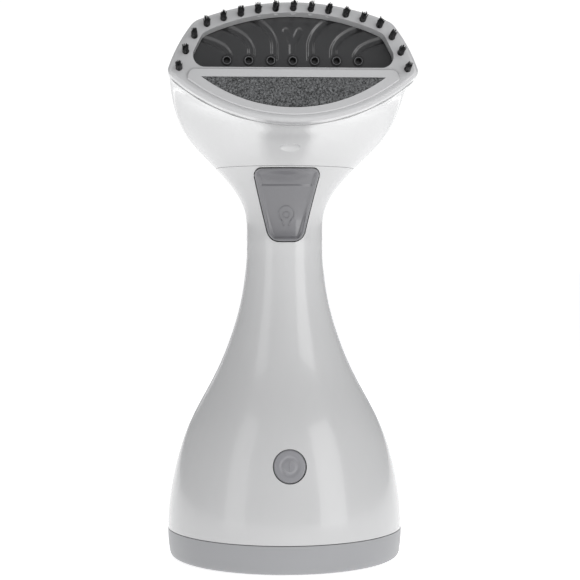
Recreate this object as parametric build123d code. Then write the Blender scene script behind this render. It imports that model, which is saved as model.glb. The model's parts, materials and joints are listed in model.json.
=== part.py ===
from build123d import *
import os
from math import cos, radians, sin, sqrt

# Handheld garment steamer, in millimetres.
# The origin is on the handle's axis at the resting plane. +Z is up and the steam face looks to -Y.

# --- handle and bell ---
BELL_R = 65.2
BAND_TOP = 16.3
SEAM = 0.15
WALL = 2.4
NECK_R = 21.1
NECK_START = 176.0
PARTING_Z = 215.5
BELL_PROFILE = [(BELL_R, 16.7), (61.6, 47.5), (52.6, 75.4), (37.8, 103.4), (28.8, 125.8),
                (23.2, 148.2), (NECK_R, 168.0), (NECK_R, NECK_START)]

# --- head ---
FACE_TILT = 8.0
FACE_CENTRE = (0.0, -95.0, 265.0)
FACE_TOP = 29.1
FACE_BOTTOM = -32.0
FACE_TOP_ARC = 125.0
FACE_BOTTOM_ARC = 91.2
FACE_SIDE_ARC = 75.0
FACE_SIDE_CENTRE = (-9.4, -27.7)
FACE_CORNERS = (4.0, 9.0)
FACE_HALF_WIDTH = 62.0
RIM_W = -8.1
RIM_MARGIN = 0.4
OUTLINE_POINTS = 16
CORNER_SHARPNESS = 30

# Head sections: front point and back point in the YZ plane, half width, and share of face outline.
# The first is a hair wider than the neck, so that the two surfaces meet without crossing.
HEAD_SECTIONS = [((-21.18, 176.0), (21.18, 176.0), 21.18, 0.0),
                 ((-21.3, 188.0), (21.3, 188.0), 21.4, 0.0),
                 ((-23.8, 200.0), (23.2, 203.0), 26.4, 0.0),
                 ((-32.5, 213.5), (28.0, 221.0), 39.8, 0.05),
                 ((-50.0, 222.5), (33.0, 243.0), 53.8, 0.1),
                 ((-68.0, 227.4), (24.0, 276.0), 61.6, 0.25),
                 ((-81.0, 229.8), (-26.0, 297.5), 62.9, 0.6)]

# --- steam attachment ---
RING_DEPTH = 7.5
RING_WALL = 2.0
RING_EDGE = 2.4
WINDOW_BOTTOM = -4.7
WINDOW_TOP = 23.3
WINDOW_ARC = 100.0
WINDOW_SIDE = 51.1
WINDOW_SLOPE = 0.487
WINDOW_CORNERS = (6.0, 6.0)
HOLDER_TOP = -5.6
HOLDER_BOTTOM = -28.8
HOLDER_ARC = 86.0
HOLDER_HALF_WIDTH = 52.5
HOLDER_RISE = 1.3
HOLDER_EDGE = 0.5
HOLDER_CORNER = 4.0
PAD_TOP = -9.9
PAD_BOTTOM = -25.2
PAD_ARC = 75.9
PAD_DEPTH = 1.1
PAD_STAND = 0.7
TUFT_COUNT_PER_SIDE = 8
TUFT_PITCH = 9.05
TUFT_NARROWING = 0.97
TUFT_R = 1.7
TUFT_LENGTH = 9.5
TUFT_INSET = 3.6

# --- steam plate and boiler, in the face's own frame, depth measured from the ring's front ---
PLATE_FRONT = -8.3
PLATE_T = 2.8
PLATE_INSET = 4.4
NOZZLE_COUNT = 7
NOZZLE_PITCH = 11.0
NOZZLE_V = 0.9
NOZZLE_R = 2.7
NOZZLE_HOLE_R = 1.5
NOZZLE_BODY_R = 2.2
BOILER_SIZE = (84.0, 36.0)
BOILER_V = 0.5
BOILER_CORNER = 12.0
BOILER_DEPTH = 25.0
GASKET_T = 1.2
COVER_T = 3.0
ELEMENT_R = 3.2
INLET_DROP = 4.0
SPIGOT_LENGTH = 6.0
CHAMBER_WALL = 9.0

# --- trigger ---
TRIGGER_TOP = 214.3
TRIGGER_BOTTOM = 175.2
TRIGGER_HALF_TOP = 18.4
TRIGGER_HALF_BOTTOM = 8.9
TRIGGER_CORNERS = (3.4, 6.8)
TRIGGER_GAP = 0.5
TRIGGER_PROUD = 1.3
TRIGGER_WALL = 2.0
TRIGGER_BACK_Y = -16.0
PIN_Y = -21.0
PIN_Z = 211.5
PIN_R = 1.3
RUNNING = 0.05
SWITCH_Z = 194.0
SWITCH_FRONT_Y = -6.5

# --- power button ---
BUTTON_Z = 57.0
BUTTON_R = 8.45
BUTTON_HOLE_R = 8.9
BUTTON_RECESS = 0.35
BOARD_Y = -47.8
BOARD_HOLES = [(-13, 38), (-13, 68), (13, 38), (13, 68)]
BOARD_SCREW_R = 1.0

# --- tank, filler and pump ---
TANK_BOTTOM = 42.0
TANK_TOP = 95.0
TANK_FRONT_Y = -24.0
TANK_GAP = 1.6
TANK_WALL = 1.8
FILLER_Z = 84.0
FILLER_R = 5.8
DOOR_SIZE = (16.0, 24.0)
DOOR_GAP = 0.4
DOOR_PIN_DROP = 11.0
DOOR_PIN_DEPTH = 1.9
DOOR_PIN_R = 0.8
DOOR_PIN_REACH = 9.8
DOOR_DEPTH = 8.0
BARREL_R = 1.5
PICKUP_Y = 44.0
PUMP_Z = 23.0
PUMP_R = 12.0
PUMP_FRONT_Y = -16.0
PUMP_REAR_Y = 34.0
TUBE_R = 2.5
TUBE_BORE_R = 1.5

# --- cord inlet and fasteners ---
INLET_Z = 30.0
INLET_BORE_R = 3.6
GLAND_R = 6.2
SCREW_R = 1.5
SCREW_HEAD_R = 2.8
CASE_SCREWS = [(-50.0, 30.0), (50.0, 30.0), (0.0, 160.0)]

FACE = Plane(origin=FACE_CENTRE, x_dir=(1, 0, 0),
             z_dir=(0, -cos(radians(FACE_TILT)), sin(radians(FACE_TILT))))


def write(name, shape):
    """Write one named sub-part as parts/NAME.step."""
    solids = shape.solids() if hasattr(shape, "solids") else shape
    whole = solids[0] if len(solids) == 1 else Compound(children=list(solids))
    export_step(whole, f"parts/{name}.step")


def face_point(u, v, w):
    """A point of the face's own frame, as a world vector."""
    return FACE.from_local_coords(Vector(u, v, w))


def box(low, high):
    """A box between two opposite corners."""
    size = [b - a for a, b in zip(low, high)]
    centre = [(a + b) / 2 for a, b in zip(low, high)]
    return Pos(*centre) * Box(*size)


def rod_y(radius, y_from, y_to, x=0.0, z=0.0):
    """A round bar along Y."""
    length = abs(y_to - y_from)
    return Pos(x, (y_from + y_to) / 2, z) * Rot(90, 0, 0) * Cylinder(radius, length)


def rod_x(radius, x_from, x_to, y=0.0, z=0.0):
    """A round bar along X."""
    length = abs(x_to - x_from)
    return Pos((x_from + x_to) / 2, y, z) * Rot(0, 90, 0) * Cylinder(radius, length)


def face_block(sketch, w_from, w_to):
    """A sketch in the face's frame, extruded between two depths."""
    return FACE * Pos(0, 0, w_from) * extrude(sketch, amount=w_to - w_from)


def face_rod(radius, u, v, w_from, w_to):
    """A round bar along the face's normal."""
    return FACE * Pos(u, v, (w_from + w_to) / 2) * Cylinder(radius, abs(w_to - w_from))


def tube(points, radius, bend, bore=0.0):
    """A round tube or bar along straight runs joined by arcs."""
    path = FilletPolyline(*points, radius=bend)
    start = Plane(origin=path @ 0, z_dir=path % 0)
    outer = sweep(start * Circle(radius), path=path)
    if bore == 0.0:
        return outer
    return outer - sweep(start * Circle(bore), path=path)


# ---------------------------------------------------------------- outer form

def bell_side(inset):
    """The bell's side line, radius against height."""
    points = [(radius - inset, z) for radius, z in BELL_PROFILE]
    return Spline(*points, tangents=((0, 1), (0, 1)))


def bell_param(z):
    """Where the bell's side line reaches a height, by halving."""
    side = bell_side(0)
    low, high = 0.0, 1.0
    for _ in range(30):
        middle = (low + high) / 2
        if (side @ middle).Y < z:
            low = middle
        else:
            high = middle
    return low


def bell_radius(z):
    return (bell_side(0) @ bell_param(z)).X


def filler_plane():
    """The plane that touches the bell where the filler door is, with its normal outwards."""
    slope = bell_side(0) % bell_param(FILLER_Z)
    return Plane(origin=(0, bell_radius(FILLER_Z), FILLER_Z), x_dir=(-1, 0, 0),
                 z_dir=(0, slope.Y, -slope.X))


def bell_form(inset):
    """The round bell and neck, drawn in by inset, up to the start of the head."""
    side = bell_side(inset)
    bottom_z, top_z = BELL_PROFILE[0][1], BELL_PROFILE[-1][1]
    closing = Polyline(side @ 1, (0, top_z), (0, bottom_z), side @ 0)
    half = make_face(Plane.XZ * (side + closing))
    return revolve(half, axis=Axis.Z)


def face_circles():
    """The circles whose common area is the face outline: below, above and at the two sides."""
    across, up = FACE_SIDE_CENTRE
    return [(0, FACE_BOTTOM + FACE_BOTTOM_ARC, FACE_BOTTOM_ARC), (0, FACE_TOP - FACE_TOP_ARC, FACE_TOP_ARC),
            (across, up, FACE_SIDE_ARC), (-across, up, FACE_SIDE_ARC)]


def face_stretch(angle):
    """How far the face outline reaches beyond its own ellipse in one direction."""
    centre_v = (FACE_TOP + FACE_BOTTOM) / 2
    du = FACE_HALF_WIDTH * sin(angle)
    dv = -(FACE_TOP - FACE_BOTTOM) / 2 * cos(angle)
    reaches = []
    for circle_u, circle_v, radius in face_circles():
        a = du * du + dv * dv
        b = 2 * (dv * (centre_v - circle_v) - du * circle_u)
        c = circle_u ** 2 + (centre_v - circle_v) ** 2 - radius ** 2
        reaches.append((-b + sqrt(b * b - 4 * a * c)) / (2 * a))
    return sum(reach ** -CORNER_SHARPNESS for reach in reaches) ** (-1 / CORNER_SHARPNESS)


def head_rows(past_rim):
    """Cross-sections of the head: front point, back point, half width and outline share."""
    rows = [(Vector(0, *near), Vector(0, *far), wide, share) for near, far, wide, share in HEAD_SECTIONS]
    front = face_point(0, FACE_BOTTOM - RIM_MARGIN, RIM_W)
    back = face_point(0, FACE_TOP + RIM_MARGIN, RIM_W)
    rows.append((front, back, FACE_HALF_WIDTH + RIM_MARGIN, 1.0))
    if past_rim:
        beyond = FACE.z_dir * past_rim
        rows.append((front + beyond, back + beyond, FACE_HALF_WIDTH + RIM_MARGIN, 1.0))
    return rows


def head_form(inset, past_rim=0.0):
    """The head, drawn in by inset, from the neck to its rim and a little past it."""
    grid = []
    for front, back, half_width, share in head_rows(past_rim):
        centre = (front + back) * 0.5
        rise = (back - front).normalized()
        half_rise = (back - front).length / 2 - inset
        row = []
        for i in range(OUTLINE_POINTS + 1):
            angle = radians(180 * i / OUTLINE_POINTS)
            reach = 1 + share * (face_stretch(angle) - 1)
            row.append(centre + Vector(reach * (half_width - inset) * sin(angle), 0, 0)
                       - rise * (reach * half_rise * cos(angle)))
        grid.append(row)
    right = Face.make_surface_from_array_of_points(grid)
    left = mirror(right, about=Plane.YZ)
    low_ends = Wire([right.edges().sort_by(Axis.Z)[0], left.edges().sort_by(Axis.Z)[0]])
    rim_ends = Wire([right.edges().sort_by(Axis.Y)[0], left.edges().sort_by(Axis.Y)[0]])
    return Solid(Shell([right, left, Face(low_ends), Face(rim_ends)]))


def whole_form(inset, past_rim=0.0):
    """Bell, neck and head together."""
    return bell_form(inset) + head_form(inset, past_rim)


def above(z):
    return box((-200, -200, z), (200, 200, 500))


def below(z):
    return box((-200, -200, -100), (200, 200, z))


def below_rim():
    """Everything behind the plane of the head's rim."""
    return FACE * box((-300, -500, RIM_W - 500), (300, 300, RIM_W))


# ---------------------------------------------------------------- steam attachment

def round_corners(outline, low_radius, high_radius):
    """Rounds an outline's two lowest and two highest corners."""
    outline = fillet(outline.vertices().sort_by(Axis.Y)[:2], low_radius)
    return fillet(outline.vertices().sort_by(Axis.Y)[-2:], high_radius)


def face_outline(inset=0.0):
    """The face's outline, drawn in by inset: four arcs with rounded corners."""
    outline = None
    for u, v, radius in face_circles():
        disc = Pos(u, v) * Circle(radius - inset)
        outline = outline & disc if outline else disc
    return round_corners(outline, *[max(corner - inset, 1.0) for corner in FACE_CORNERS])


def window_outline():
    """The steam window: flat below, leaning sides, an arc above."""
    reach = WINDOW_TOP + 20
    sides = Polygon((-WINDOW_SIDE + WINDOW_SLOPE * WINDOW_BOTTOM, WINDOW_BOTTOM),
                    (WINDOW_SIDE - WINDOW_SLOPE * WINDOW_BOTTOM, WINDOW_BOTTOM),
                    (WINDOW_SIDE - WINDOW_SLOPE * reach, reach),
                    (-WINDOW_SIDE + WINDOW_SLOPE * reach, reach), align=None)
    outline = (Pos(0, WINDOW_TOP - WINDOW_ARC) * Circle(WINDOW_ARC)) & sides
    return round_corners(outline, *WINDOW_CORNERS)


def half_moon(top, bottom, arc, half_width, corner):
    """A half-moon: flat above, round below."""
    moon = Pos(0, bottom + arc) * Circle(arc)
    moon = moon & (Pos(0, top - 50) * Rectangle(2 * half_width, 100))
    if corner:
        moon = fillet(moon.vertices().sort_by(Axis.Y)[-2:], corner)
    return moon


def tuft_places():
    """Where the bristle tufts stand on the ring, spaced along its upper edge and drawn in at the sides."""
    line = face_outline(TUFT_INSET).wire()
    upper = [edge for edge in line.edges() if edge.center().Y > -8]
    path = Wire(Wire.combine(upper)[0].edges())
    first = path.param_at_point((0, FACE_TOP - TUFT_INSET, 0))
    step = TUFT_PITCH / path.length
    places = [path @ (first + i * step) for i in range(-TUFT_COUNT_PER_SIDE, TUFT_COUNT_PER_SIDE + 1)]
    return [Vector(place.X * TUFT_NARROWING, place.Y, 0) for place in places]


def brush_frame():
    """The clip-on ring: a hollow moulding with a steam window, pad seat and three snap tabs."""
    outline, window = face_outline(), window_outline()
    ring = face_block(outline, -RING_DEPTH, 0)
    ring = fillet(ring.edges().group_by(FACE_DEPTH)[-1], RING_EDGE)
    ring -= face_block(window, -RING_DEPTH - 1, 1)
    hollow = face_outline(RING_WALL + 0.6) - offset(window, amount=RING_WALL)
    ring -= face_block(hollow, -RING_DEPTH - 1, -RING_WALL - 0.6)
    ring += snap_tabs()
    for place in tuft_places():
        ring += face_rod(TUFT_R + 0.9, place.X, place.Y, -4.2, -2.2)
    for place in tuft_places():
        ring -= face_rod(TUFT_R, place.X, place.Y, -3.0, 1)
    return ring


def snap_tabs():
    """Three thin tongues that reach past the steam plate's edge into the head."""
    tongue = Rectangle(12, 1.0)
    places = ((0, FACE_TOP - 3.8), (-30, -23.4), (30, -23.4))
    turns = (0, -19, 19)
    tabs = Part()
    for (u, v), turn in zip(places, turns):
        tabs += face_block(Pos(u, v) * Rot(0, 0, turn) * tongue, -14.0, -RING_WALL)
    return tabs


def pad_seat():
    return half_moon(PAD_TOP, PAD_BOTTOM, PAD_ARC, PAD_ARC, 0)


def pad_floor():
    return HOLDER_RISE - PAD_DEPTH


def pad_holder():
    """The raised half-moon carrier of the lint pad."""
    moon = half_moon(HOLDER_TOP, HOLDER_BOTTOM, HOLDER_ARC, HOLDER_HALF_WIDTH, HOLDER_CORNER)
    carrier = face_block(moon, 0, HOLDER_RISE)
    carrier = chamfer(carrier.edges().group_by(FACE_DEPTH)[-1], HOLDER_EDGE)
    return carrier - face_block(pad_seat(), pad_floor(), HOLDER_RISE + 5)


def lint_pad():
    """The half-moon fabric pad, standing a little proud of its carrier."""
    return face_block(pad_seat(), pad_floor(), HOLDER_RISE + PAD_STAND)


def bristle_tufts():
    """Tufts of stiff bristle set into the ring's upper edge."""
    return [face_rod(TUFT_R, place.X, place.Y, -3.0, TUFT_LENGTH) for place in tuft_places()]


# ---------------------------------------------------------------- steam plate and boiler

def nozzle_places():
    middle = (NOZZLE_COUNT - 1) / 2
    return [((i - middle) * NOZZLE_PITCH, NOZZLE_V) for i in range(NOZZLE_COUNT)]


def steam_plate():
    plate = face_block(face_outline(PLATE_INSET), PLATE_FRONT - PLATE_T, PLATE_FRONT)
    for u, v in nozzle_places():
        plate -= face_rod(NOZZLE_BODY_R, u, v, PLATE_FRONT - PLATE_T - 1, PLATE_FRONT + 1)
    return plate


def nozzle_inserts():
    back = PLATE_FRONT - PLATE_T - GASKET_T
    inserts = []
    for u, v in nozzle_places():
        body = face_rod(NOZZLE_BODY_R, u, v, back, PLATE_FRONT)
        collar = face_rod(NOZZLE_R, u, v, PLATE_FRONT, PLATE_FRONT + 0.5)
        inserts.append(body + collar - face_rod(NOZZLE_HOLE_R, u, v, back - 1, PLATE_FRONT + 2))
    return inserts


def boiler_back():
    return PLATE_FRONT - PLATE_T - GASKET_T - BOILER_DEPTH


def boiler_outline(grow=0.0):
    width, height = BOILER_SIZE
    return Pos(0, BOILER_V) * RectangleRounded(width + 2 * grow, height + 2 * grow, BOILER_CORNER + grow)


def boiler_screw_places():
    width, height = BOILER_SIZE
    half_u, half_v = width / 2 - 8, height / 2 - 4.5
    return [(u, BOILER_V + v) for u in (-half_u, 0, half_u) for v in (-half_v, half_v)]


def steam_gasket():
    front = PLATE_FRONT - PLATE_T
    gasket = face_block(boiler_outline() - boiler_outline(-5), front - GASKET_T, front)
    return gasket


def heating_element():
    """The U-shaped heater, whose two cold ends leave the boiler at one side."""
    w = boiler_back() + BOILER_DEPTH / 2
    half_v, near, far_u = 9.0, 29.0, 47.0
    points = [face_point(far_u, BOILER_V + half_v, w), face_point(-near, BOILER_V + half_v, w),
              face_point(-near, BOILER_V - half_v, w), face_point(far_u, BOILER_V - half_v, w)]
    return tube(points, ELEMENT_R, half_v - 1.0)


def boiler(element):
    """The cast block: steam chamber open to the back, drilled through to each nozzle."""
    front, back = boiler_back() + BOILER_DEPTH, boiler_back()
    block = face_block(boiler_outline(), back, front)
    block -= face_block(boiler_outline(-CHAMBER_WALL), back - 1, back + 6)
    for u, v in nozzle_places():
        block -= face_rod(NOZZLE_HOLE_R, u, v, back, front + 1)
    for u, v in boiler_screw_places():
        block -= face_rod(SCREW_R, u, v, back - 1, back + 10)
    return block - element


def boiler_gasket():
    back = boiler_back()
    gasket = face_block(boiler_outline() - boiler_outline(-CHAMBER_WALL), back - GASKET_T, back)
    for u, v in boiler_screw_places():
        gasket -= face_rod(SCREW_R, u, v, back - 5, back + 1)
    return gasket


def boiler_cover():
    front = boiler_back() - GASKET_T
    cover = face_block(boiler_outline(), front - COVER_T, front)
    cover += face_rod(4.2, 0, BOILER_V - INLET_DROP, front - COVER_T - SPIGOT_LENGTH, front - COVER_T)
    cover -= face_rod(TUBE_BORE_R, 0, BOILER_V - INLET_DROP, front - COVER_T - 10, front + 1)
    for u, v in boiler_screw_places():
        cover -= face_rod(SCREW_R, u, v, front - 5, front + 1)
    return cover


def boiler_screws():
    top = boiler_back() - GASKET_T - COVER_T
    screws = []
    for u, v in boiler_screw_places():
        shank = face_rod(SCREW_R, u, v, top, top + COVER_T + GASKET_T + 9)
        screws.append(shank + face_rod(SCREW_HEAD_R, u, v, top - 2.2, top))
    return screws


def thermostat():
    front = boiler_back() - GASKET_T - COVER_T
    disc = face_rod(7.5, 22, BOILER_V, front - 6, front)
    for side in (-1, 1):
        disc += FACE * Pos(22 + side * 4, BOILER_V, front - 8) * Box(0.8, 4, 4)
    return disc


def thermal_fuse():
    w = boiler_back() - GASKET_T - COVER_T - 2.4
    body = FACE * Pos(-24, BOILER_V, w) * Rot(0, 90, 0) * Cylinder(2.2, 14)
    leads = FACE * Pos(-24, BOILER_V, w) * Rot(0, 90, 0) * Cylinder(0.6, 24)
    return body + leads


def heat_shield():
    """A folded sheet that keeps the boiler's heat off the shell behind and above it."""
    cover_back = boiler_back() - GASKET_T - COVER_T
    low, high, t = BOILER_V - 17, BOILER_V + 22.5, 0.8
    rear = cover_back - 11
    shield = FACE * box((-38, low, rear), (38, high, rear + t))
    shield += FACE * box((-38, high - t, rear), (38, high, -20))
    for side in (-1, 1):
        shield += FACE * box((side * 30 - 3, low, rear), (side * 30 + 3, low + t, cover_back))
    return shield - face_rod(5.0, 0, BOILER_V - INLET_DROP, rear - 2, rear + 2)


def boiler_brackets(inner):
    """Two sheet brackets from the boiler's ends to the head shell's walls."""
    brackets = []
    half = BOILER_SIZE[0] / 2
    for side in (-1, 1):
        near, thick, far = side * half, side * (half + 1.4), side * 80
        arm = FACE * box((min(near, far), -4, -30), (max(near, far), 5, -28.6))
        foot = FACE * box((min(near, thick), -4, -30), (max(near, thick), 5, -20))
        brackets.append((arm & inner) + foot)
    return brackets


# ---------------------------------------------------------------- casings

def trigger_outline(grow=0.0):
    outline = Polygon((-TRIGGER_HALF_BOTTOM, TRIGGER_BOTTOM), (TRIGGER_HALF_BOTTOM, TRIGGER_BOTTOM),
                      (TRIGGER_HALF_TOP, TRIGGER_TOP), (-TRIGGER_HALF_TOP, TRIGGER_TOP), align=None)
    outline = fillet(outline.vertices().sort_by(Axis.Y)[-2:], TRIGGER_CORNERS[0])
    outline = fillet(outline.vertices().sort_by(Axis.Y)[:2], TRIGGER_CORNERS[1])
    if grow:
        outline = offset(outline, amount=grow)
    return outline


def trigger_prism(grow, y_from, y_to):
    """The trigger's front outline, extruded along Y."""
    plane = Plane(origin=(0, y_to, 0), x_dir=(1, 0, 0), z_dir=(0, -1, 0))
    return extrude(plane * trigger_outline(grow), amount=y_to - y_from)


def case_post(x, z, y_from, y_to, outer):
    """A screw post between the two casing halves, trimmed to the outer form."""
    return rod_y(4.0, y_from, y_to, x, z) & outer


def front_shell(outer, handle):
    shell = handle & box((-200, -200, -100), (200, 0, 500))
    shell -= trigger_prism(TRIGGER_GAP, -60, -10)
    collar = rod_y(BUTTON_HOLE_R + 1.6, -70, -52.6, 0, BUTTON_Z) & outer
    shell += collar
    shell -= rod_y(BUTTON_HOLE_R, -80, -50, 0, BUTTON_Z)
    for side in (-1, 1):
        boss = box((min(side * 19.0, side * 22.6), -26, 208.2), (max(side * 19.0, side * 22.6), -18, 214.6))
        shell += boss & outer
    shell -= rod_x(PIN_R, -21.6, 21.6, PIN_Y, PIN_Z)
    for x, z in CASE_SCREWS:
        shell += case_post(x, z, -60, 0, outer) - rod_y(SCREW_R, -8, 1, x, z)
    for x, z in BOARD_HOLES:
        shell += rod_y(2.8, -70, BOARD_Y, x, z) & outer
        shell -= rod_y(BOARD_SCREW_R, BOARD_Y - 5, BOARD_Y + 1, x, z)
    return shell


def door_block(gap, n_from, n_to):
    """The filler door's outline, grown by a gap, square to the bell's surface."""
    width, height = DOOR_SIZE
    outline = RectangleRounded(width + 2 * gap, height + 2 * gap, 3.0 + gap)
    return FILLER * Pos(0, 0, n_from) * extrude(outline, amount=n_to - n_from)


def door_rod(radius, x_from, x_to):
    """A round bar along the filler door's hinge."""
    middle = Pos((x_from + x_to) / 2, -DOOR_PIN_DROP, -DOOR_PIN_DEPTH)
    return FILLER * middle * Rot(0, 90, 0) * Cylinder(radius, x_to - x_from)


def rear_shell(outer, handle):
    shell = handle & box((-200, 0, -100), (200, 200, 500))
    shell -= door_block(DOOR_GAP, -DOOR_DEPTH, DOOR_DEPTH)
    shell -= door_block(0, -DOOR_DEPTH, DOOR_DEPTH).moved(Location(FILLER.y_dir * -1.6))
    shell -= door_rod(DOOR_PIN_R, -DOOR_PIN_REACH, DOOR_PIN_REACH)
    shell -= rod_y(GLAND_R, 50, 80, 0, INLET_Z)
    for x, z in CASE_SCREWS:
        post = case_post(x, z, 0, 70, outer)
        head_floor = screw_floor(x, z)
        post -= rod_y(SCREW_R, -1, 80, x, z)
        shell -= rod_y(4.0, head_floor, 80, x, z)
        shell += post - rod_y(SCREW_HEAD_R + 0.2, head_floor, 80, x, z)
    return shell


def screw_floor(x, z):
    """How far back a case screw's head sits, 6 mm under the rear casing's surface."""
    return sqrt(bell_radius(z) ** 2 - x ** 2) - 6


def case_screws():
    screws = []
    for x, z in CASE_SCREWS:
        head_floor = screw_floor(x, z)
        screws.append(rod_y(SCREW_R, -7, head_floor, x, z) +
                      rod_y(SCREW_HEAD_R, head_floor, head_floor + 2.2, x, z))
    return screws


def head_shell(outer, inner):
    shell = (outer - inner) & above(PARTING_Z + SEAM)
    notch = Pos(0.5, -57.5, 213.4) * Sphere(12.3)
    return shell - (notch & outer & box((-6, -70, 215), (7, -40, 230)))


# ---------------------------------------------------------------- base

def base_ring():
    """The grey band at the foot, with a spigot inside the casing and a ledge for the base plate."""
    lip, inner_r = 61.8, 62.6
    outer_side = Spline((62.4, 1.0), (64.4, 5.0), (BELL_R, BAND_TOP), tangents=((1.0, 0.35), (0, 1)))
    rest = Polyline((BELL_R, BAND_TOP), (inner_r - 0.2, BAND_TOP), (inner_r - 0.2, 21.0),
                    (60.4, 21.0), (60.4, 8.0), (56.0, 6.4), (56.0, 4.0), (lip, 4.0), (lip, 1.0),
                    (62.4, 1.0))
    ring = revolve(make_face(Plane.XZ * (outer_side + rest)), axis=Axis.Z)
    for x, y in base_screw_places():
        ring -= Pos(x, y, 6) * Cylinder(SCREW_R, 6)
    return ring


def base_screw_places():
    return [(58.0 * cos(radians(a)), 58.0 * sin(radians(a))) for a in (0, 90, 180, 270)]


def foot_places():
    return [(48.0 * cos(radians(a)), 48.0 * sin(radians(a))) for a in (45, 135, 225, 315)]


def base_plate():
    plate = Pos(0, 0, 2.8) * Cylinder(61.6, 2.4)
    for x, y in foot_places():
        plate -= Pos(x, y, 1.6) * Cylinder(6.0, 1.2)
    for x, y in base_screw_places():
        plate -= Pos(x, y, 2.8) * Cylinder(SCREW_R, 4)
        plate -= Pos(x, y, 1.6) * Cylinder(SCREW_HEAD_R + 0.2, 2.0)
    return plate


def rubber_feet():
    """Four round feet in their sockets, and a flat middle pad."""
    feet = [Pos(x, y, 1.1) * Cylinder(6.0, 2.2) for x, y in foot_places()]
    return feet + [Pos(0, 0, 0.8) * Cylinder(10.0, 1.6)]


def base_screws():
    screws = []
    for x, y in base_screw_places():
        head = Pos(x, y, 1.9) * Cylinder(SCREW_HEAD_R, 1.4)
        screws.append(Pos(x, y, 5.3) * Cylinder(SCREW_R, 5.4) + head)
    return screws


# ---------------------------------------------------------------- trigger group

def trigger(proud, thick):
    """A hollow trigger that follows the casing, scooped for the finger, with a switch post."""
    body = trigger_prism(0, -60, TRIGGER_BACK_Y) & proud
    body -= rod_x(30.0, -40, 40, -53.2, 189.0)
    hollow = trigger_prism(-TRIGGER_WALL, -60, TRIGGER_BACK_Y + 1) & thick
    hollow -= rod_x(33.0, -40, 40, -53.2, 189.0)
    body -= hollow
    body -= rod_x(PIN_R + RUNNING, -40, 40, PIN_Y, PIN_Z)
    post = box((-2, -21.5, SWITCH_Z - 2), (2, SWITCH_FRONT_Y - 2.9, SWITCH_Z + 2))
    return body + post


def trigger_switch():
    body = box((-3.2, SWITCH_FRONT_Y, 187), (3.2, 3.0, 203))
    return body - rod_y(1.2 + RUNNING, SWITCH_FRONT_Y - 1, 0, 0, SWITCH_Z)


def switch_plunger():
    return rod_y(1.2, SWITCH_FRONT_Y - 2.6, -3.0, 0, SWITCH_Z)


def switch_bracket(inner):
    plate = box((-30, 3.0, 177), (30, 4.6, 206)) & inner
    return plate


def coil(radius, wire, length, turns):
    """A round-wire spring along +Z from the origin."""
    path = Helix(pitch=(length - wire) / turns, height=length - wire, radius=radius)
    start = Plane(origin=path @ 0, z_dir=path % 0)
    return Pos(0, 0, wire / 2) * sweep(start * Circle(wire / 2), path=path, is_frenet=True)


def trigger_spring():
    return Pos(0, -18.6, 181.0) * Rot(-90, 0, 0) * coil(3.0, 0.8, 21.4, 8)


# ---------------------------------------------------------------- power button group

def power_button(skin):
    """The round cap, flush with the casing, with a skirt, a retaining flange and a centre stem."""
    cap = rod_y(BUTTON_R, -80, -52, 0, BUTTON_Z) & skin
    cap -= rod_y(6.9, -56.6, -40, 0, BUTTON_Z)
    cap += rod_y(9.7, -52.0, -50.9, 0, BUTTON_Z) - rod_y(6.9, -53, -40, 0, BUTTON_Z)
    cap += rod_y(2.2, -57, -54.2, 0, BUTTON_Z)
    return cap


def power_switch():
    body = box((-3, BOARD_Y - 3.5, BUTTON_Z - 3), (3, BOARD_Y, BUTTON_Z + 3))
    return body - rod_y(1.7 + RUNNING, BOARD_Y - 5, BOARD_Y - 0.5, 0, BUTTON_Z)


def power_switch_stem():
    return rod_y(1.7, BOARD_Y - 6.1, BOARD_Y - 1.7, 0, BUTTON_Z)


def power_button_spring():
    return Pos(0, -56.5, BUTTON_Z) * Rot(-90, 0, 0) * coil(5.3, 0.6, 8.7, 4)


def control_board():
    board = box((-17, BOARD_Y, 34), (17, BOARD_Y + 1.6, 72))
    for x, z in BOARD_HOLES:
        board -= rod_y(BOARD_SCREW_R, BOARD_Y - 1, BOARD_Y + 3, x, z)
    chip = box((-8, BOARD_Y + 1.6, 48), (2, BOARD_Y + 3.6, 58))
    relay = box((-10, BOARD_Y + 1.6, 58), (2, BOARD_Y + 12, 66))
    capacitor = rod_y(3.5, BOARD_Y + 1.6, BOARD_Y + 11, 8, 42)
    return board + chip + relay + capacitor


def board_screws():
    return [rod_y(BOARD_SCREW_R, BOARD_Y - 5, BOARD_Y + 1.6, x, z) +
            rod_y(2.0, BOARD_Y + 1.6, BOARD_Y + 3.2, x, z) for x, z in BOARD_HOLES]


# ---------------------------------------------------------------- water side

def tank_form(extra):
    gap = WALL + TANK_GAP + extra
    form = bell_form(gap) & above(TANK_BOTTOM + extra) & below(TANK_TOP - extra)
    return form & box((-200, TANK_FRONT_Y + extra, 0), (200, 200, 300))


def water_tank():
    """The blown tank inside the bell, with a filler neck behind and a suction hole below."""
    neck = FILLER * Pos(0, 0, -7.5) * Cylinder(FILLER_R + 1.6, 9)
    tank = tank_form(0) + neck - tank_form(TANK_WALL)
    tank -= FILLER * Pos(0, 0, -7) * Cylinder(FILLER_R, 14)
    return tank - Pos(0, PICKUP_Y, TANK_BOTTOM) * Cylinder(TUBE_R, 10)


def filler_door(outer, inner):
    """The hinged filler flap, following the bell, with its hinge barrel along the lower edge."""
    flap = door_block(0, -DOOR_DEPTH, DOOR_DEPTH) & (outer - inner)
    flap -= FILLER * box((-20, -30, -20), (20, -DOOR_PIN_DROP, 20))
    flap -= door_rod(BARREL_R + 0.4, 7.4, 20) + door_rod(BARREL_R + 0.4, -20, -7.4)
    flap += door_rod(BARREL_R, -7.2, 7.2)
    return flap - door_rod(DOOR_PIN_R + RUNNING, -20, 20)


def filler_hinge_pin():
    return door_rod(DOOR_PIN_R, -DOOR_PIN_REACH, DOOR_PIN_REACH)


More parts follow.
